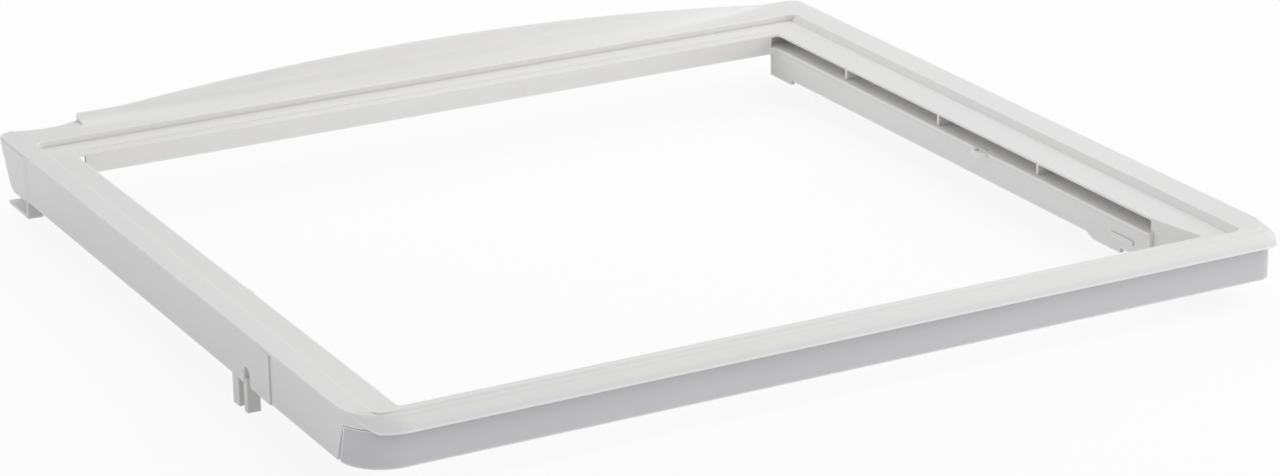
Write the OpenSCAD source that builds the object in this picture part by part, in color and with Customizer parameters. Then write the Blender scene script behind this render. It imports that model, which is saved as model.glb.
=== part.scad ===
// Cover frame for the deli drawer of a refrigerator.
// One stepped moulding holds a glass pane on a seat round its opening, with an arched lip
// at the rear, a rolled nose at the front and four hooks below its side walls.
// A separate trim strip wraps the front below the nose.
// X runs to the right, Y to the rear and Z up. Below, y = 0 is the front face of the trim
// and z = 0 is the glass seat; module placed() moves the origin to the foot of the hooks.

/* [Frame] */
// Width over the side flanges
frame_w = 420; // [390:1:450]
// Depth from the nose to the rear edge of the rim
frame_d = 398.3; // [370:0.1:430]
// Thickness of the rim, the glass seat and the nose
skin_t = 1.2; // [1:0.1:1.6]
// Thickness of the walls and skirts
wall_t = 2; // [1.6:0.1:2.4]
// Drop from the rim to the glass seat
seat_drop = 3.1; // [2.4:0.1:4]
// Depth of the side walls below the glass seat
wall_drop = 19.2; // [17:0.1:24]

/* [Rim and glass seat] */
// Width of the left rim
left_rim_w = 10.2; // [9:0.1:14]
// Width of the right rim
right_rim_w = 14.1; // [10:0.1:18]
// Width of the front rim, nose included
front_rim_w = 7.9; // [7.6:0.1:9]
// Width of the rear rim
back_rim_w = 21.5; // [19:0.1:26]
// Width of the left glass seat
left_seat_w = 13.4; // [12:0.1:18]
// Width of the right glass seat
right_seat_w = 18.8; // [15:0.1:24]
// Width of the front glass seat
front_seat_w = 8.6; // [7:0.1:12]
// Width of the rear glass seat
back_seat_w = 17.6; // [14:0.1:22]
// Radius of the corners of the step
step_r = 4.5; // [3:0.1:6]
// Radius of the corners of the opening
opening_r = 2; // [1:0.1:4]
// Slope of the right riser of the step, from its top to its foot
riser_in = 2.3; // [1:0.1:3]
// Depth of the faint line moulded along the rear seat
seat_line_d = 0.3; // [0.1:0.1:0.5]
// Distance of that line from the opening
seat_line_y = 5.8; // [4:0.1:8]

/* [Nose and flange] */
// Reach of the nose ahead of the trim
nose_over = 3.5; // [3:0.1:4.5]
// Width of the flat ridge along the front of the step
ridge_w = 1.8; // [1.4:0.1:2.4]
// Drop from that ridge to the crest of the nose
ridge_drop = 0.7; // [0.4:0.1:1]
// Height of the nose
nose_h = 7.7; // [7:0.1:9]
// Depth over which the nose rolls down
roll_d = 4.5; // [3.5:0.1:5]
// Height over which the nose rolls down
roll_h = 4.5; // [3.5:0.1:5]
// Radius of the left front corner in plan
left_corner_r = 22; // [18:0.5:26]
// Radius of the right front corner in plan
right_corner_r = 7.4; // [7:0.1:9]
// Extra reach of the nose's lip at that corner
right_corner_out = 1.2; // [0.5:0.1:1.6]
// Radius of the rear corners in plan
rear_corner_r = 6; // [5.5:0.1:8]
// Edge radius of the side flanges
edge_r = 0.6; // [0.3:0.1:0.8]
// Angle from straight ahead where the nose starts to fade at the left corner
fade_from = 36; // [30:1:45]
// Angle from straight ahead where the nose has become the flange there
fade_to = 64; // [55:1:80]
// Length over which the nose fades behind the right corner
fade_l = 10; // [8:0.5:12]
// Overhang of the side flanges over the side walls
flange_over = 0.8; // [0.5:0.1:1.2]

/* [Rear lip] */
// Height of the lip over the rim at its crown
lip_h = 10.8; // [8:0.1:14]
// Radius of the arch of the lip
lip_arch_r = 1600; // [1400:10:1900]
// Crown of the arch, to the right of the middle
lip_crown_x = 4; // [-10:1:10]
// Distance of the square left end from the left flange
lip_start = 38.4; // [30:0.1:50]
// Height of the straight stretch at the left end
lip_end_h = 3.4; // [3:0.1:4.5]
// Length of the straight stretch at the left end
lip_end_l = 24; // [20:1:30]
// Thickness of the lip at its top
lip_t = 1.8; // [1.4:0.1:2.4]
// Radius of the hollow blend between rim and lip
lip_blend_r = 12.7; // [11.5:0.1:14]
// Length of the scoop in the rear edge beside the lip
scoop_l = 32; // [20:1:36]
// Depth of the scoop
scoop_d = 4; // [2:0.1:5]

/* [Side walls] */
// Lean of the rear end of the side walls, in degrees
wall_lean = 29; // [15:1:35]
// Radius of the heel where the rear end meets the bottom
heel_r = 8; // [5:0.5:10]
// Distance of the wall's rear end behind the step, at the top
wall_end_y = 17.2; // [15:0.1:20]
// Front of the swelling in the side walls
swell_y = 82; // [75:1:90]
// Length of the swelling
swell_l = 43; // [30:1:50]
// Length of the stretch at the rear where the wall is flush with the flange
flush_l = 30; // [20:1:36]
// Depth of the rear apron below the glass seat
apron_drop = 9.5; // [8:0.1:14]

/* [Hooks] */
// Front of the front hooks
front_hook_y = 107.5; // [100:0.5:114]
// Length of the front hooks
front_hook_l = 14.6; // [14:0.1:20]
// Depth of the front hooks below the side walls
front_hook_drop = 12.6; // [10:0.1:15]
// Reach of the front hooks in from the face of the walls
front_hook_reach = 5.6; // [5:0.1:8]
// Thickness of the front rib of a front hook
hook_rib_t = 3.2; // [2.5:0.1:4]
// Thickness of the rear rib of a front hook
hook_back_t = 6; // [4.5:0.1:7]
// Web between the ribs of a front hook
hook_web_t = 1.4; // [1.2:0.1:2]
// Width of the notch in the wall ahead of a front hook
notch_w = 6.5; // [4:0.1:8]
// Height of that notch
notch_h = 7.7; // [5:0.1:10]
// Distance of the rear hooks from the rear edge of the rim
rear_hook_in = 8.8; // [7:0.1:16]
// Length of the rear hooks
rear_hook_l = 25.5; // [20:0.5:28]
// Reach of the rear hooks in from the face of the walls
rear_hook_reach = 7; // [6:0.1:9]
// Depth of the rear hooks below the side walls
rear_hook_drop = 8.5; // [7:0.1:12]
// Thickness of the plates of a rear hook
rear_hook_t = 1.4; // [1:0.1:2]

/* [Inner rails] */
// Height of the slots below the glass seat
slot_h = 4.9; // [4:0.1:6]
// Depth of the slots behind the edge of the glass seat
slot_d = 11; // [9:0.1:12]
// Front end of the slots
slot_front = 43; // [36:1:60]
// Reach of the slots past the rear end of the opening
slot_past = 5.9; // [4:0.1:8]
// Reach of the skirts past the rear end of the opening
skirt_past = 4.3; // [3:0.1:5]
// Length of the slot's mouth in the rear cross skirt, from the edge of the glass seat
slot_mouth = 4.4; // [3:0.1:6]
// Thickness of the shelf below a slot
shelf_t = 1.6; // [1.2:0.1:2.4]
// Reach of the shelf past the edge of the glass seat
shelf_over = 2.2; // [1.5:0.1:3]
// Depth of the inner skirts below the glass seat
skirt_drop = 19.1; // [16:0.1:22]
// Extra depth of the skirts at their two feet
foot_drop = 2.2; // [1:0.1:3]
// Thickness of the ribs across a slot
rib_t = 1.4; // [1:0.1:2]
// Distance of the middle rib behind the middle of the slot
rib_shift = 8.4; // [0:0.1:16]
// Pitch of the ribs
rib_pitch = 81.5; // [60:0.5:90]
// Length of the rounded stop on the shelf
stop_l = 11; // [9:0.5:16]
// Reach of the stop
stop_reach = 4.5; // [3:0.1:5]
// Middle of the stop
stop_y = 170; // [150:1:190]
// Radius of the pit in the top of the stop
pit_r = 3.4; // [2:0.1:4]
// Depth of that pit
pit_d = 0.8; // [0.4:0.1:1]
// Front of the small ledge on the skirt
tick_y = 52; // [50:1:56]
// Length of that ledge
tick_l = 16; // [8:0.5:18]
// Height of that ledge
tick_h = 2; // [1:0.1:3]
// Reach of that ledge
tick_t = 1; // [0.5:0.1:1.5]
// Start of the front foot of a skirt behind its front end
front_foot_at = 21; // [16:0.5:26]
// Length of the feet
foot_l = 20; // [14:0.5:24]
// Length of the ramp behind the front foot
foot_ramp = 5; // [2:0.5:8]
// Reach of the slant of the skirt ahead of the slot
skirt_back = 5.2; // [4:0.1:8]
// Depth of the cross ribs below the glass seat
rib_drop = 13; // [9:0.5:16]
// Radius of the rounded corners between the skirts at the rear
skirt_corner_r = 4; // [2:0.5:5]

/* [Front trim] */
// Height of the trim strip
trim_h = 15.5; // [14.5:0.1:16]
// Thickness of the trim strip
trim_t = 2; // [1.6:0.1:2.4]
// Gap between the trim strip and the frame
trim_gap = 0.3; // [0.2:0.05:0.5]
// Distance of the slit at the trim's ends behind its front face, at the top of the trim
slit_y = 14.5; // [13:0.1:18]
// Lean of the slit, in degrees
slit_lean = 18; // [10:1:24]
// Angle by which the slit opens downwards, in degrees
slit_open = 6; // [3:0.5:8]
// Width of the snap tabs behind the trim
tab_w = 12; // [8:0.5:16]
// Thickness of the snap tabs
tab_t = 1.8; // [1.4:0.1:2.4]
// Spacing of the snap tabs
tab_pitch = 84; // [70:1:90]

/* [Hidden] */
$fn = 96;
// How far pieces of one moulding run into each other
bite = 0.3;
// Steps of the rolled edge, of the arched lip and of its blend
roll_n = 8;
lip_n = 36;
blend_n = 8;
// Width of the flange section, and how far the rim plate stays inside the flange's edge
flange_w = 5;
plate_in = 2;
// Share of the nose that is left at the side of the right corner
side_share = 0.74;
// Catch of the snap tabs
barb_h = 1.2;
// Height of the small ledge on the skirt
tick_z = -15;
// Root of the hooks above the lower edge of the walls
hook_root = 2;
rear_root_l = 10;

// Edges of the frame in plan
left_x = -frame_w / 2;
right_x = frame_w / 2;
front_y = -nose_over;
rear_y = front_y + frame_d;
rim_z = seat_drop;

// Edges of the step and of the opening
step_left = left_x + left_rim_w;
step_right = right_x - right_rim_w;
step_front = front_y + front_rim_w;
step_rear = rear_y - back_rim_w;
open_left = step_left + left_seat_w;
open_right = step_right - right_seat_w;
open_front = step_front + front_seat_w;
open_rear = step_rear - back_seat_w;

// Heights, all from the glass seat
wall_foot = -wall_drop;
front_foot = wall_foot - front_hook_drop;
rear_foot = wall_foot - rear_hook_drop;
skin_under = rim_z - skin_t;
wall_top = skin_under + bite;
seat_under = -skin_t;
rail_top = seat_under + bite;

// Nose section: where the ridge ends and where the section runs into the rim plate
ridge_in = front_rim_w - ridge_w;
nose_w = ridge_in + bite;

// Front corners of the trim and of the wall behind it
trim_top = wall_foot + trim_h;
trim_left_r = left_corner_r - 3;
trim_right_r = right_corner_r - 1.4;
trim_x = frame_w / 2 - flange_over;
inner_wall_off = trim_t + trim_gap;
tab_places = [for (i = [-2 : 2]) i * tab_pitch];
tab_z = (wall_foot + trim_top) / 2;

// Inner rails
shelf_z = -skin_t - slot_h;
shelf_back = slot_d + shelf_t;
skirt_front = slot_front - wall_t;
skirt_rear = open_rear + skirt_past;
slot_rear = open_rear + slot_past;
rib_mid = (slot_front + slot_rear) / 2 + rib_shift;
rib_places = [for (i = [-1 : 1]) rib_mid + i * rib_pitch];
rear_hook_y = rear_y - rear_hook_in - rear_hook_l;

// Height of the lowest foot, which sets the origin
foot_z = min(front_foot, rear_foot);
mid_y = front_y + frame_d / 2;

// General helpers

function unit(v) = v / norm(v);

// Outline with its corners rounded by true arcs; every corner that has a radius points outwards
module rounded(pts, radii) {
    n = len(pts);
    corners = [for (i = [0 : n - 1])
        let (a = unit(pts[(i + n - 1) % n] - pts[i]), b = unit(pts[(i + 1) % n] - pts[i]))
        let (half = acos(a * b) / 2, r = radii[i])
        [pts[i] + a * r / tan(half), pts[i] + b * r / tan(half), pts[i] + unit(a + b) * r / sin(half)]];
    polygon([for (i = [0 : n - 1]) each radii[i] > 0 ? [corners[i][0], corners[i][1]] : [pts[i]]]);
    for (i = [0 : n - 1])
        if (radii[i] > 0)
            translate(corners[i][2])
                circle(radii[i]);
}

// Rounded rectangle between two x and two y, with one radius in front and one at the rear
module plan(x0, x1, y0, y1, r_front, r_rear) {
    rounded([[x0, y0], [x1, y0], [x1, y1], [x0, y1]], [r_front, r_front, r_rear, r_rear]);
}

// Slab between two heights
module slab(z0, z1) {
    translate([0, 0, z0])
        linear_extrude(z1 - z0)
            children();
}

// A profile drawn in (y, z), run along x
module along_x(x0, x1) {
    translate([x0, 0, 0])
        rotate([90, 0, 90])
            linear_extrude(x1 - x0)
                children();
}

// A profile drawn in (x, z), run along y
module along_y(y0, y1) {
    translate([0, y1, 0])
        rotate([90, 0, 0])
            linear_extrude(y1 - y0)
                children();
}

module block(x0, x1, y0, y1, z0, z1) {
    translate([x0, y0, z0])
        cube([x1 - x0, y1 - y0, z1 - z0]);
}

// Both sides of the frame: children are drawn for the left flange, with u = 0 at its edge
module each_side() {
    translate([left_x, 0, 0])
        children();
    translate([right_x, 0, 0])
        mirror([1, 0, 0])
            children();
}

// Skin through a row of closed sections with equal counts of points; in each section
// point i lies across from point m - 1 - i, which closes the two ends
module loft(sections) {
    m = len(sections[0]);
    last = len(sections) - 1;
    sides = [for (j = [0 : last - 1], i = [0 : m - 1])
        let (a = j * m + i, b = j * m + (i + 1) % m)
        each [[a, a + m, b], [b, a + m, b + m]]];
    start = [for (i = [0 : m / 2 - 2]) each [[i, i + 1, m - 1 - i], [i + 1, m - 2 - i, m - 1 - i]]];
    finish = [for (f = start) [f[2] + last * m, f[1] + last * m, f[0] + last * m]];
    polyhedron([for (s = sections) each s], concat(sides, start, finish));
}

// Rolled edge: a row of sections that turn from the thin side flange into the deep nose

function turn(i) = 90 * i / roll_n;

// Section of the side flange, as [outwards, up] from the top of its outer edge
flange_section = concat(
    [[-flange_w, 0], [-1.5, 0], [-1, 0]],
    [for (i = [0 : roll_n]) [edge_r * (sin(turn(i)) - 1), edge_r * (cos(turn(i)) - 1)]],
    [[0, -skin_t * 0.8], [-skin_t * 0.2, -skin_t]],
    [for (i = [roll_n : -1 : 0]) [-skin_t - (flange_w - 2 * skin_t) * (1 - i / roll_n) * 0.6, -skin_t]],
    [[-flange_w * 0.8, -skin_t], [-flange_w * 0.9, -skin_t], [-flange_w, -skin_t]]);

// Section of the front nose, from the same point: ridge, slope, crest, roll and lip
nose_section = concat(
    [[-nose_w, 0], [-ridge_in, 0], [-roll_d - bite, -ridge_drop]],
    [for (i = [0 : roll_n]) [roll_d * (sin(turn(i)) - 1), roll_h * (cos(turn(i)) - 1) - ridge_drop]],
    [[0, -nose_h + skin_t * 0.4], [-skin_t * 0.4, -nose_h]],
    [for (i = [roll_n : -1 : 0])
        [-roll_d + (roll_d - skin_t) * sin(turn(i)),
            -roll_h + (roll_h - skin_t) * cos(turn(i)) - ridge_drop]],
    [[-roll_d - bite, -ridge_drop - skin_t], [-ridge_in, -skin_t], [-nose_w, -skin_t]]);

// How much of the nose is left at an angle from straight ahead, on the left and on the right
function left_share(angle) = max(0, min(1, (fade_to - angle) / (fade_to - fade_from)));
function right_share(angle) = min(1, 1 - (1 - side_share) * (angle - 45) / 45);

function edge_section(k) =
    [for (i = [0 : len(nose_section) - 1]) flange_section[i] * (1 - k) + nose_section[i] * k];

// A station is [centre of the corner, radius, direction that the edge faces, share of the nose],
// and at the right front corner also how far the lip reaches out
left_front = [left_x + left_corner_r, front_y + left_corner_r];
right_front = [right_x - right_corner_r, front_y + right_corner_r];
left_rear = [left_x + rear_corner_r, rear_y - rear_corner_r];
right_rear = [right_x - rear_corner_r, rear_y - rear_corner_r];

edge_stations = concat(
    [for (i = [0 : 6]) [left_rear, rear_corner_r, 90 + 15 * i, 0]],
    [for (i = [0 : 16])
        let (angle = 90 - 90 * i / 16) [left_front, left_corner_r, 270 - angle, left_share(angle)]],
    [for (i = [0 : 10])
        let (angle = 90 * i / 10, out = right_corner_out * pow(sin(2 * angle), 3))
        [right_front, right_corner_r, 270 + angle, right_share(angle), out]],
    [for (i = [1 : 5])
        [right_front + [0, fade_l * i / 5], right_corner_r, 360, side_share * (1 - i / 5)]],
    [for (i = [0 : 6]) [right_rear, rear_corner_r, 15 * i, 0]]);

// Place of a section's point at a station, and of the edge of the rim plate
function outwards(s, d) = s[0] + [cos(s[2]), sin(s[2])] * (s[1] + d);

function station_points(s) =
    let (out = len(s) > 4 ? s[4] : 0)
    [for (p = edge_section(s[3]))
        let (xy = outwards(s, p[0] + out * max(0, 1 + p[0] / roll_d))) [xy[0], xy[1], rim_z + p[1]]];

module rolled_edge() {
    loft([for (s = edge_stations) station_points(s)]);
}

// Rim, step and glass seat

module step_plan(grow = 0) {
    plan(step_left - grow, step_right + grow, step_front - grow, step_rear + grow,
        step_r + grow, step_r + grow);
}

// Opening; its right front corner flares out with the front stretch of the skirt
module opening_plan() {
    rounded([[open_left, open_front], [open_right + skirt_back, open_front],
        [open_right, skirt_front], [open_right, open_rear], [open_left, open_rear]],
        [opening_r, opening_r, 0, opening_r, opening_r]);
}

// Right riser of the step, which slopes in to the glass seat
module riser_slope() {
    foot = step_right - riser_in;
    along_y(step_front - 1, step_rear + 1)
        polygon([[foot, -1], [step_right + 1, -1], [step_right + 1, rim_z], [step_right, rim_z], [foot, 0]]);
}

// Rim plate, which ends inside the sections of the rolled edge
module rim_plan() {
    plate_edge = (plate_in - ridge_in - bite / 2);
    difference() {
        union() {
            polygon([for (s = edge_stations) outwards(s, plate_edge * s[3] - plate_in)]);
            translate([left_x + rear_corner_r, step_rear])
                square([frame_w - 2 * rear_corner_r, rear_y - step_rear]);
        }
        // Scoop beside the left end of the lip: a shallow arc cut into the rear edge
        scoop_r = (pow(scoop_l / 2, 2) + scoop_d * scoop_d) / (2 * scoop_d);
        translate([left_x + lip_start - scoop_l / 2, rear_y + scoop_r - scoop_d])
            circle(scoop_r, $fn = 360);
        // The lip brings its own stretch of rim
        translate([lip_first_x, lip_front_y])
            square([lip_last_x - lip_first_x, back_rim_w]);
    }
}

module skin() {
    difference() {
        union() {
            rolled_edge();
            slab(skin_under, rim_z)
                rim_plan();
            slab(-skin_t, rim_z)
                step_plan(skin_t);
        }
        difference() {
            slab(0, rim_z + 1)
                step_plan();
            riser_slope();
        }
        slab(-nose_h, 1)
            opening_plan();
        slab(-nose_h, -skin_t)
            step_plan(-skin_t);
        // Faint line along the rear seat
        along_x(open_left + opening_r, open_right - opening_r)
            translate([open_rear + seat_line_y, 0])
                circle(seat_line_d, $fn = 16);
    }
}

// Rear rim with its arched lip, blended into the rim by a hollow that grows with the lip

lip_first_x = left_x + lip_start;
lip_last_x = lip_crown_x + sqrt(pow(lip_arch_r, 2) - pow(lip_arch_r - lip_h, 2));
lip_front_y = step_rear + skin_t;

// Height of the lip over the rim
function lip_top(x) = max(
    x < lip_first_x + lip_end_l ? lip_end_h : 0,
    sqrt(max(0, pow(lip_arch_r, 2) - pow(x - lip_crown_x, 2))) - lip_arch_r + lip_h);

// Section of rim and lip: along the rim, up the hollow blend, over the top and back below
function lip_section(x) =
    let (h = lip_top(x), face_y = rear_y - lip_t)
    let (reach = sqrt(h * (2 * lip_blend_r - h)), spread = max(reach, lip_t))
    let (blend = [for (i = [0 : blend_n])
        let (t = i / blend_n)
        [face_y - spread * (1 - t), lip_blend_r - sqrt(pow(lip_blend_r, 2) - pow(reach * t, 2))]])
    let (top = concat([[lip_front_y, 0]], blend, [[rear_y, h]]))
    let (under = [for (i = [len(top) - 1 : -1 : 0]) [top[i][0], -skin_t]])
    [for (p = concat(top, under)) [x, p[0], rim_z + p[1]]];

module lip() {
    loft([for (i = [0 : lip_n]) lip_section(lip_last_x + (lip_first_x - lip_last_x) * i / lip_n)]);
}

// Side walls

// Edge of the slit at a height, turned by an angle towards the front
function slit_edge_y(z, open) = slit_y + (trim_top - z) * tan(slit_lean - open);

// Leaning rear end of a side wall at a height
function wall_end(z) = step_rear + wall_end_y - (skin_under - z) * tan(wall_lean);

// Side view of a wall in (y, z)
module wall_side() {
    rounded([[slit_edge_y(wall_foot, 0), wall_foot], [wall_end(wall_foot), wall_foot],
        [wall_end(wall_top), wall_top], [slit_edge_y(wall_top, 0), wall_top]], [0, heel_r, 0, 0]);
}

module side_walls() {
    difference() {
        wall_pieces();
        // The front ends follow the rounded corners of the trim
        slab(wall_foot - 1, wall_top + 1)
            difference() {
                translate([left_x - 1, -1])
                    square([frame_w + 2, trim_left_r + 1]);
                front_ring(0);
            }
    }
    apron();
}

module wall_pieces() {
    each_side() {
        difference() {
            union() {
                along_x(flange_over, flange_over + wall_t)
                    wall_side();
                // Swelling that brings the wall flush with the flange
                slab(wall_foot, skin_under)
                    polygon([[flange_over + bite, swell_y], [0, swell_y], [flange_over, swell_y + swell_l],
                        [flange_over + bite, swell_y + swell_l]]);
                // Stretch at the rear where the wall stands out to the flange
                intersection() {
                    flush_y = wall_end(skin_under) - flush_l;
                    slab(wall_foot, skin_under)
                        polygon([[flange_over + bite, flush_y - 4], [flange_over, flush_y - 4], [0, flush_y],
                            [0, rear_y - rear_corner_r], [flange_over, rear_y], [flange_over + bite, rear_y]]);
                    along_x(-1, flange_over + wall_t)
                        wall_side();
                }
            }
            notch();
        }
        front_hook();
        rear_hook();
    }
    front_wall();
}

// Notch in the lower edge of the wall, just ahead of a front hook
module notch() {
    along_x(-1, flange_over + wall_t + 1)
        translate([front_hook_y - notch_w / 2 + hook_rib_t / 2, wall_foot]) {
            translate([0, notch_h - notch_w / 2])
                circle(notch_w / 2);
            translate([-notch_w / 2, -1])
                square([notch_w, notch_h - notch_w / 2 + 1]);
        }
}

// Wall behind the trim strip, round both front corners
module front_wall() {
    end_y = slit_edge_y(wall_foot, 0) + wall_t;
    difference() {
        slab(wall_foot, wall_top)
            difference() {
                front_ring(inner_wall_off);
                front_ring(inner_wall_off + wall_t);
                translate([left_x, end_y])
                    square([frame_w, frame_d]);
            }
        for (x = tab_places)
            tab_window(x);
    }
    // Shoulder over the trim strip, flush with its face
    slab(trim_top + trim_gap, skin_under)
        difference() {
            front_ring(0);
            front_ring(inner_wall_off + bite);
            translate([left_x, end_y])
                square([frame_w, frame_d]);
        }
    // Joggle from that wall out to the face of the side walls
    each_side()
        intersection() {
            block(flange_over, flange_over + inner_wall_off + wall_t, 0, end_y, wall_foot, wall_top);
            along_x(0, 2 * inner_wall_off + wall_t)
                wall_side();
        }
}

// Window that a snap tab of the trim passes through
module tab_window(x) {
    block(x - tab_w / 2 - trim_gap, x + tab_w / 2 + trim_gap, 0, inner_wall_off + wall_t + 1,
        tab_z - trim_gap, tab_z + tab_t + barb_h + trim_gap);
}

// Snap tab: an arm with a barb that catches behind the wall
module snap_tab(x) {
    catch_y = inner_wall_off + wall_t + trim_gap;
    along_x(x - tab_w / 2, x + tab_w / 2)
        polygon([[trim_t - bite, tab_z], [catch_y + barb_h, tab_z], [catch_y + barb_h, tab_z + tab_t],
            [catch_y, tab_z + tab_t + barb_h], [catch_y, tab_z + tab_t], [trim_t - bite, tab_z + tab_t]]);
}

// Plan of the front with rounded corners, a distance inside the face of the trim
module front_ring(inset) {
    rounded([[-trim_x + inset, inset], [trim_x - inset, inset], [trim_x - inset, step_rear],
        [-trim_x + inset, step_rear]], [trim_left_r - inset, trim_right_r - inset, 0, 0]);
}

// Low leaning apron under the rear edge
module apron() {
    side = flange_over + wall_t / 2;
    along_x(left_x + side, right_x - side)
        polygon([[wall_end(wall_top), wall_top], [wall_end(-apron_drop), -apron_drop],
            [wall_end(-apron_drop) - wall_t, -apron_drop], [wall_end(wall_top) - wall_t, wall_top]]);
}

// Hooks under the side walls

// A channel that is open outwards: two ribs and a web
module front_hook() {
    rear = front_hook_y + front_hook_l;
    top = wall_foot + hook_root;
    face = flange_over;
    deep = face + front_hook_reach;
    block(face, deep, front_hook_y, front_hook_y + hook_rib_t, front_foot, top);
    block(face, deep, rear - hook_back_t, rear, front_foot, top);
    block(deep - hook_web_t, deep, front_hook_y, rear, front_foot, top);
    // Root of the channel behind the wall
    block(face + wall_t - bite, deep, front_hook_y, rear, wall_foot, wall_foot + notch_h);
}

// A foot plate on a front web and an inner web, open outwards and to the rear
module rear_hook() {
    rear = rear_hook_y + rear_hook_l;
    face = flange_over;
    deep = face + rear_hook_reach;
    block(face, deep, rear_hook_y, rear, rear_foot, rear_foot + rear_hook_t);
    block(face, deep, rear_hook_y, rear_hook_y + rear_hook_t, rear_foot, wall_foot + bite);
    block(deep - rear_hook_t, deep, rear_hook_y, rear, rear_foot, wall_foot + hook_root);
    // Root of the inner web behind the wall
    block(face + wall_t - bite, deep, rear_hook_y, rear_hook_y + rear_root_l, wall_foot, wall_foot + hook_root);
}

// Inner rails: a slot with ribs over a shelf, and a skirt below it

module inner_rails() {
    translate([open_right, 0, 0])
        inner_rail(right_seat_w, right_rim_w);
    translate([open_left, 0, 0])
        mirror([1, 0, 0])
            inner_rail(left_seat_w, left_rim_w);
    difference() {
        cross_skirt(open_rear, open_rear + wall_t);
        // The mouths of the slots run on through the rear cross skirt
        for (x = [open_left - slot_d, open_right - slot_mouth])
            block(x, x + slot_d + slot_mouth, open_rear - 1, open_rear + wall_t + 1, shelf_z, seat_under);
    }
    cross_skirt(open_front - wall_t, open_front);
}

// One rail, with u = 0 at the edge of the glass seat and outwards positive
module inner_rail(seat_w, rim_w) {
    slot();
    skirt();
    cross_ribs(seat_w, rim_w);
}

module slot() {
    slot_end = slot_rear + wall_t;
    // Shelf with its edge flush with the skirt, and the pit in its stop
    difference() {
        union() {
            block(-shelf_over, shelf_back, skirt_front, slot_end, shelf_z - shelf_t, shelf_z);
            along_y(skirt_front, slot_end)
                translate([-shelf_over, shelf_z - shelf_t / 2])
                    circle(shelf_t / 2, $fn = 24);
            stop();
        }
        translate([-shelf_over - stop_reach + pit_r + 1, stop_y, shelf_z - pit_d])
            cylinder(h = 1 + pit_d, r = pit_r);
    }
    // Back of the slot
    block(slot_d, shelf_back, skirt_front, slot_end, shelf_z - bite, rail_top);
    // Webs at both ends, and ribs between
    for (y = [skirt_front, slot_rear])
        block(0, shelf_back, y, y + wall_t, shelf_z - bite, rail_top);
    for (y = rib_places)
        block(0, shelf_back, y - rib_t / 2, y + rib_t / 2, shelf_z - bite, rail_top);
}

module skirt() {
    low = -skirt_drop;
    foot_low = low - foot_drop;
    along_x(-shelf_over, -shelf_over + wall_t)
        polygon([[skirt_front, low], [skirt_front + front_foot_at, low],
            [skirt_front + front_foot_at, foot_low], [skirt_front + front_foot_at + foot_l, foot_low],
            [skirt_front + front_foot_at + foot_l + foot_ramp, low], [skirt_rear - foot_l, low],
            [skirt_rear - foot_l, foot_low], [skirt_rear, foot_low],
            [skirt_rear, shelf_z], [skirt_front, shelf_z]]);
    // Return of the skirt at the front, and the stretch ahead of it that slants outwards
    block(-shelf_over, wall_t, skirt_front, skirt_front + wall_t, low, shelf_z);
    behind = inner_wall_off + wall_t / 2;
    slab(low, rail_top)
        polygon([[0, skirt_front + wall_t], [0, skirt_front], [skirt_back, open_front], [skirt_back, behind],
            [skirt_back + wall_t, behind], [skirt_back + wall_t, open_front], [wall_t, skirt_front],
            [wall_t, skirt_front + wall_t]]);
    // Rounded corner between the skirt and the rear cross skirt
    inner = -shelf_over - skirt_corner_r;
    slab(-apron_drop, shelf_z)
        difference() {
            translate([inner, open_rear - skirt_corner_r])
                square(skirt_corner_r + bite);
            translate([inner, open_rear - skirt_corner_r])
                circle(skirt_corner_r);
        }
    // Small ledge low on the skirt
    block(-shelf_over - tick_t, -shelf_over + bite, tick_y, tick_y + tick_l, tick_z, tick_z + tick_h);
}

// Rounded stop that stands out from the edge of the shelf
module stop() {
    root = -shelf_over + bite;
    tip = -shelf_over - stop_reach;
    slab(shelf_z - shelf_t, shelf_z)
        rounded([[root, stop_y + stop_l / 2], [tip, stop_y + stop_l / 2],
            [tip, stop_y - stop_l / 2], [root, stop_y - stop_l / 2]],
            [0, stop_reach - bite, stop_reach - bite, 0]);
}

// Stiffening ribs that carry the ribs of the slot on to the side wall
module cross_ribs(seat_w, rim_w) {
    wall_u = seat_w + rim_w - flange_over - wall_t + bite;
    for (y = rib_places)
        along_y(y - rib_t / 2, y + rib_t / 2)
            polygon([[shelf_back - bite, -rib_drop], [wall_u, -rib_drop], [wall_u, wall_top],
                [seat_w + skin_t, wall_top], [seat_w + skin_t, rail_top], [shelf_back - bite, rail_top]]);
}

// Low skirt across the front or the rear of the opening
module cross_skirt(y0, y1) {
    side = skirt_back + bite;
    block(open_left - side, open_right + side, y0, y1, -apron_drop, rail_top);
}

module frame() {
    color([0.9, 0.9, 0.9])
        placed() {
            skin();
            lip();
            side_walls();
            inner_rails();
        }
}

// Trim strip

module front_trim() {
    color([0.8, 0.8, 0.82])
        placed()
            trim_strip();
}

module trim_strip() {
    intersection() {
        slab(wall_foot, trim_top)
            difference() {
                front_ring(0);
                front_ring(trim_t);
            }
        along_x(left_x, right_x)
            polygon([[-1, wall_foot], [slit_edge_y(wall_foot, slit_open) - trim_gap, wall_foot],
                [slit_edge_y(trim_top, slit_open) - trim_gap, trim_top], [-1, trim_top]]);
    }
    for (x = tab_places)
        snap_tab(x);
}

// Origin: middle of the frame in plan, at the foot of the hooks
module placed() {
    translate([0, -mid_y, -foot_z])
        children();
}

frame();
front_trim();
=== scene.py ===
# %% [markdown]
# # A drawer cover in white gloss plastic
# The real object is the cover of a deli drawer in a refrigerator. It is moulded in one
# piece, with a seat for a glass pane round its opening, and a separate trim strip is
# snapped on round its front. Both are white plastic with a polished skin, so this scene
# is mostly a lesson in plastic: how bright it is, how evenly it shines, and what light
# shows its steps and hollows.

import math

import bpy
from mathutils import Matrix, Vector


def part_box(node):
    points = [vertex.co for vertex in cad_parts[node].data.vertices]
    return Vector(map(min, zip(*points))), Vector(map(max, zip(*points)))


MM = 0.001

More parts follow.
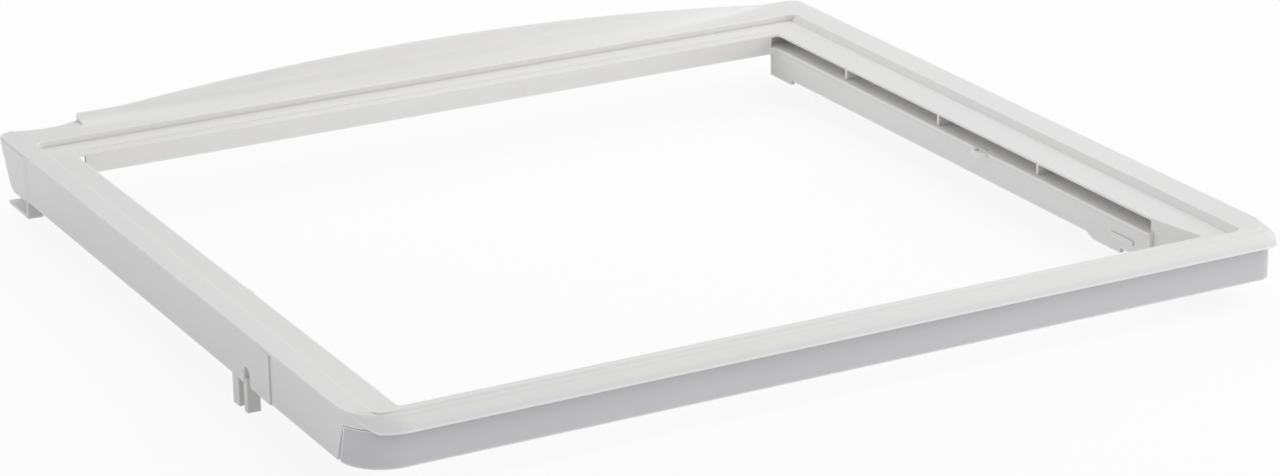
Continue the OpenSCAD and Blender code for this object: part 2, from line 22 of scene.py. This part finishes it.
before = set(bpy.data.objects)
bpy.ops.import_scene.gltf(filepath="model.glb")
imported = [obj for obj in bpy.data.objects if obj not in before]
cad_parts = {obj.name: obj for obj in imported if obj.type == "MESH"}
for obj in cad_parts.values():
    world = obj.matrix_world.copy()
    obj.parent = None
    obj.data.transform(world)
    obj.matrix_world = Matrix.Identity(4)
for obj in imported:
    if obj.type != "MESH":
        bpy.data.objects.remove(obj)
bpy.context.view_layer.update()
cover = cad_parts["frame"]
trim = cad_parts["front_trim"]
for node in (cover, trim):
    low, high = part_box(node.name)
    print(node.name, "is", [round(side / MM, 1) for side in high - low], "mm")

# %% [markdown]
# ## The camera
# A product picture is taken with a long lens from some way off, so that parallel edges
# stay nearly parallel. Three angles turn the camera: how far it looks to the right of
# straight ahead, how far down, and how far it leans. The turn is written as a product of
# three plain turns, because each of them can be checked by eye, and a finished matrix of
# nine numbers can't.

# %% Place the camera
CAMERA_PLACE = Vector((-0.7323, -1.4087, 0.5788))
LOOK_RIGHT = math.radians(27.904)
LOOK_DOWN = math.radians(19.785)
LEAN = math.radians(0.913)
LENS_MM = 108.66
SENSOR_MM = 36


def turned(angle, axis):
    return Matrix.Rotation(angle, 4, axis)


camera = bpy.data.objects.new("camera", bpy.data.cameras.new("camera"))
bpy.context.scene.collection.objects.link(camera)
camera.data.sensor_width = SENSOR_MM
camera.data.sensor_fit = "HORIZONTAL"
camera.data.lens = LENS_MM
facing = turned(-LOOK_RIGHT, "Z") @ turned(math.pi / 2 - LOOK_DOWN, "X") @ turned(-LEAN, "Z")
camera.matrix_world = Matrix.Translation(CAMERA_PLACE) @ facing
bpy.context.scene.camera = camera
print("camera is", round(CAMERA_PLACE.length, 2), "m from the middle of the part")

# %% [markdown]
# ## Shader maths in Python
# A Blender material is a graph of nodes, and a graph that is built by hand gets long.
# The small class below wraps one output socket, so that a sum of two patterns is written
# as a sum. The method `make` adds any other node. Its settings are set first, because
# they decide which sockets the node has. An input is then named as in Blender, with _
# for a space, or by its number: `i0` is the first.


# %% Wrap a socket so that it can be added and multiplied
class Shade:
    def __init__(self, tree, socket):
        self.tree = tree
        self.socket = socket

    def make(self, kind, settings=None, output=0, **inputs):
        node = self.tree.nodes.new(kind)
        for name, value in (settings or {}).items():
            setattr(node, name, value)
        for name, value in inputs.items():
            numbered = name[1:].isdigit()
            place = node.inputs[int(name[1:]) if numbered else name.replace("_", " ")]
            if isinstance(value, Shade):
                self.tree.links.new(value.socket, place)
            else:
                place.default_value = value
        return Shade(self.tree, node.outputs[output])

    def maths(self, operation, a, b):
        return self.make("ShaderNodeMath", {"operation": operation}, i0=a, i1=b)

    def __add__(self, other):
        return self.maths("ADD", self, other)

    def __radd__(self, other):
        return self.maths("ADD", other, self)

    def __sub__(self, other):
        return self.maths("SUBTRACT", self, other)

    def __rsub__(self, other):
        return self.maths("SUBTRACT", other, self)

    def __mul__(self, other):
        return self.maths("MULTIPLY", self, other)

    def __rmul__(self, other):
        return self.maths("MULTIPLY", other, self)


print("a Shade can be added, subtracted and multiplied")

# %% [markdown]
# ## Start and end of a graph
# Every material here, and the world too, starts as an empty graph, takes a first socket,
# and ends in an output node. Two short helpers do that. The first socket of a plastic is
# the place on the object, because a pattern that reads Object coordinates stays on the
# piece when the camera moves.


# %% Start and end a graph
def first_shade(owner, kind, output):
    owner.use_nodes = True
    owner.node_tree.nodes.clear()
    node = owner.node_tree.nodes.new(kind)
    return Shade(owner.node_tree, node.outputs[output])


def end_with(shade, kind):
    end = shade.tree.nodes.new(kind)
    shade.tree.links.new(shade.socket, end.inputs["Surface"])
    return len(shade.tree.nodes)


print("graphs can be started and ended")

# %% [markdown]
# ## A white that drifts
# Polished moulded plastic looks even, but one flat colour looks like paint in a drawing.
# On the real part the white drifts very slightly over a hand's width, where the melt
# cooled a little faster or slower. A large soft noise mixes two whites that are close to
# each other. Noise and mixing come back below, so each gets a helper.

# %% Let the white drift
DRIFTS_PER_METRE = 9.0


def noise(where, per_metre, detail, roughness):
    return where.make("ShaderNodeTexNoise", {"noise_dimensions": "3D"}, output="Fac",
                      Vector=where, Scale=per_metre, Detail=detail, Roughness=roughness)


def blend(share, first, second):
    return share.make("ShaderNodeMix", {"data_type": "RGBA"}, output=2,
                      i0=share, i6=first, i7=second)


def drifting_white(where, colour, deeper):
    drift = noise(where, DRIFTS_PER_METRE, detail=2.0, roughness=0.5)
    return blend(drift, (*colour, 1), (*deeper, 1))


print("white drifts", DRIFTS_PER_METRE, "times in a metre")

# %% [markdown]
# ## Painted highlights on edges and painted shade in corners
# Colour changes at edges too. Outer edges get a painted highlight: a lighter white stands in
# for the glint that a rounded edge of white plastic catches. Inside corners get painted shade:
# a darker grey stands in for the shade that gathers there. The Ambient Occlusion node finds
# both: looking inwards it meets the next face only near an outer edge, and looking outwards
# only near an inside corner. The bright band is less than a millimetre wide and the dark one
# not quite two, so they read as lines, not as stripes.

# %% Find the edges and corners
EDGE_BAND = 0.9 * MM
HIGHLIGHT_SHARE = 2.0
# Painted highlight: the lighter white laid along outer edges.
PAINTED_HIGHLIGHT = (0.96, 0.955, 0.94, 1)
CORNER_BAND = 1.6 * MM
SHADE_SHARE = 0.5
# Painted shade: the dark grey laid into inside corners.
PAINTED_SHADE = (0.42, 0.41, 0.40, 1)
OCCLUSION_RAYS = 8


def near_a_face(where, reach, inside):
    settings = {"samples": OCCLUSION_RAYS, "inside": inside, "only_local": True}
    return 1.0 - where.make("ShaderNodeAmbientOcclusion", settings, output="AO",
                            Distance=reach)


# Lays painted highlights on outer edges and painted shade in inside corners.
def white_with_painted_light(where, white):
    near_edge = near_a_face(where, EDGE_BAND, inside=True)
    in_corner = near_a_face(where, CORNER_BAND, inside=False)
    highlighted = blend(HIGHLIGHT_SHARE * near_edge, white, PAINTED_HIGHLIGHT)
    return blend(SHADE_SHARE * in_corner, highlighted, PAINTED_SHADE)


print("bands are", round(EDGE_BAND / MM, 1), "and", round(CORNER_BAND / MM, 1), "mm wide")

# %% [markdown]
# ## The skin
# A moulded skin has a very shallow waviness, called orange peel, that makes reflections
# swim, and handling dulls its shine in patches. Every outer edge is rounded by a fraction
# of a millimetre, and the Bevel node gives that edge to the shading of any mesh, also
# where the mesh itself is sharp. Bump adds the waves on top of it, and a second, coarser
# noise moves the roughness a little up and down.

# %% Make the skin
EDGE_RADIUS = 0.35 * MM
BEVEL_RAYS = 6
WAVES_PER_METRE = 260.0
WAVE_HEIGHT = 0.02 * MM
WAVE_STRENGTH = 0.04
PATCHES_PER_METRE = 38.0
SHINE_SWING = 0.06


def wavy_skin(where):
    waves = noise(where, WAVES_PER_METRE, detail=2.0, roughness=0.5)
    rounded = where.make("ShaderNodeBevel", {"samples": BEVEL_RAYS}, Radius=EDGE_RADIUS)
    return where.make("ShaderNodeBump", Strength=WAVE_STRENGTH, Distance=WAVE_HEIGHT,
                      Height=waves, Normal=rounded)


def patchy_shine(where, roughness):
    patches = noise(where, PATCHES_PER_METRE, detail=4.0, roughness=0.6)
    return roughness + SHINE_SWING * (patches - 0.5)


print("edges are rounded by", round(EDGE_RADIUS / MM, 2), "mm in the shading")

# %% [markdown]
# ## White gloss plastic
# The three parts come together in one Principled shader. Its index of refraction sets how
# much it mirrors, and is close to 1.5 for most hard plastics. That number is the same all
# over, so it is written on the shader itself. The cover's white is a little warm, and it
# stays below pure white, because even a clean white plastic swallows about a sixth of the
# light.

# %% Finish the cover
PLASTIC_IOR = 1.49


def white_plastic(node, name, colour, deeper, roughness):
    material = bpy.data.materials.new(name)
    where = first_shade(material, "ShaderNodeTexCoord", "Object")
    white = white_with_painted_light(where, drifting_white(where, colour, deeper))
    plastic = where.make("ShaderNodeBsdfPrincipled", Base_Color=white, IOR=PLASTIC_IOR,
                         Roughness=patchy_shine(where, roughness), Normal=wavy_skin(where))
    print(name, "has", end_with(plastic, "ShaderNodeOutputMaterial"), "nodes")
    node.data.materials.clear()
    node.data.materials.append(material)


white_plastic(cover, "cover_plastic", (0.845, 0.840, 0.818), (0.825, 0.817, 0.806),
              roughness=0.33)

# %% [markdown]
# ## The trim strip
# The trim comes from another mould. Its broad face is given a white well below the cover's. A
# little of that is the trim's own greyer plastic, and the rest is painted shade that stands in
# for the shade falling on that face below the rolled edge. It also gets a slightly softer
# shine.

# %% Finish the trim
# Painted shade: the trim's white is set well below the cover's to stand in for shade on its
# face.
white_plastic(trim, "trim_plastic", (0.65, 0.64, 0.647), (0.63, 0.62, 0.628),
              roughness=0.36)

# %% [markdown]
# ## The floor
# The picture has a white ground without a horizon. A floor that only shines white would
# lose the shadow that tells where the part stands, so the camera sees a mix: mostly plain
# white, and a share of an ordinary pale floor, which does take the shadow. Everything
# else sees only the ordinary floor, so the white shine puts no light on the part.

# %% Lay the floor
FLOOR_HALF = 6.0
WHITE_SHARE = 0.88
PALE = (0.95, 0.95, 0.95, 1)
PURE_WHITE = (1, 1, 1, 1)

corners = [(x * FLOOR_HALF, y * FLOOR_HALF, 0) for x, y in ((-1, -1), (1, -1), (1, 1), (-1, 1))]
floor_mesh = bpy.data.meshes.new("floor")
floor_mesh.from_pydata(corners, [], [(0, 1, 2, 3)])
floor = bpy.data.objects.new("floor", floor_mesh)
bpy.context.scene.collection.objects.link(floor)

pale_floor = bpy.data.materials.new("pale_floor")
seen = first_shade(pale_floor, "ShaderNodeLightPath", "Is Camera Ray")
ground = seen.make("ShaderNodeBsdfDiffuse", Color=PALE)
glow = seen.make("ShaderNodeEmission", Color=PURE_WHITE, Strength=1.0)
mixed = seen.make("ShaderNodeMixShader", i0=WHITE_SHARE * seen, i1=ground, i2=glow)
end_with(mixed, "ShaderNodeOutputMaterial")
floor.data.materials.append(pale_floor)
print("floor is", 2 * FLOOR_HALF, "m wide")

# %% [markdown]
# ## The lamps
# White plastic shows its shape only where the light on it changes a little. A panel stands
# above and behind the rear lip, so the tops grow brighter towards the back while the
# front of the lip gets less. One high in front, somewhat to the right, lights the tops,
# and a large one at the front right lights the rolled nose and the trim. A small one
# above the right side and a weak one at the left finish the side walls. Gloss asks for
# large panels, because a small one shows as a streak where the eye looks along a surface.
# The camera doesn't see the panels.


# %% Hang the lamps
def panel(name, place, aim, size, power):
    light = bpy.data.lights.new(name, "AREA")
    light.shape = "RECTANGLE"
    light.size, light.size_y = size
    light.energy = power
    lamp = bpy.data.objects.new(name, light)
    bpy.context.scene.collection.objects.link(lamp)
    lamp.location = place
    lamp.visible_camera = False
    lamp.rotation_euler = (Vector(aim) - Vector(place)).to_track_quat("-Z", "Y").to_euler()
    print(name, "gives", power, "W")


panel("rear_panel", (0.1, 0.6, 0.55), (0, 0.15, 0), (1.3, 0.6), 2.3)
panel("front_panel", (0.35, -0.7, 1.25), (0.1, 0, 0), (1.6, 0.6), 4.3)
panel("right_panel", (1.5, -1.3, 0.66), (0, 0, 0), (3.0, 1.25), 14.4)
panel("upper_right_panel", (0.85, 0, 0.85), (0, 0, 0), (0.7, 0.7), 1.35)
panel("left_panel", (-1.5, 0.1, 0.35), (0, 0, 0), (1.2, 0.6), 1.4)

# %% [markdown]
# ## The light tent
# The world stands for the white walls of a light tent, which are brightest at its two
# sides. A direction's first number tells how far it points left or right, and the
# strength grows with it. The camera itself sees plain white there, as it does on the
# floor, so no horizon shows. Standard view keeps a written colour as it is.

# %% Light the world
TENT_MIDDLE = 0.18
TENT_SIDES = 0.6
TENT_COLOUR = (0.975, 0.975, 1, 1)

studio = bpy.data.worlds.new("studio")
looked = first_shade(studio, "ShaderNodeLightPath", "Is Camera Ray")
way = studio.node_tree.nodes.new("ShaderNodeTexCoord").outputs["Generated"]
sideways = looked.make("ShaderNodeSeparateXYZ", output=0, i0=Shade(studio.node_tree, way))
how_far = looked.make("ShaderNodeMath", {"operation": "ABSOLUTE"}, i0=sideways)
room = looked.make("ShaderNodeBackground", Color=TENT_COLOUR,
                   Strength=TENT_MIDDLE + TENT_SIDES * how_far)
sheet = looked.make("ShaderNodeBackground", Color=PURE_WHITE, Strength=1.0)
all_round = looked.make("ShaderNodeMixShader", i0=looked, i1=room, i2=sheet)
end_with(all_round, "ShaderNodeOutputWorld")
bpy.context.scene.world = studio
bpy.context.scene.view_settings.view_transform = "Standard"
print("tent goes from", TENT_MIDDLE, "to", TENT_MIDDLE + TENT_SIDES)
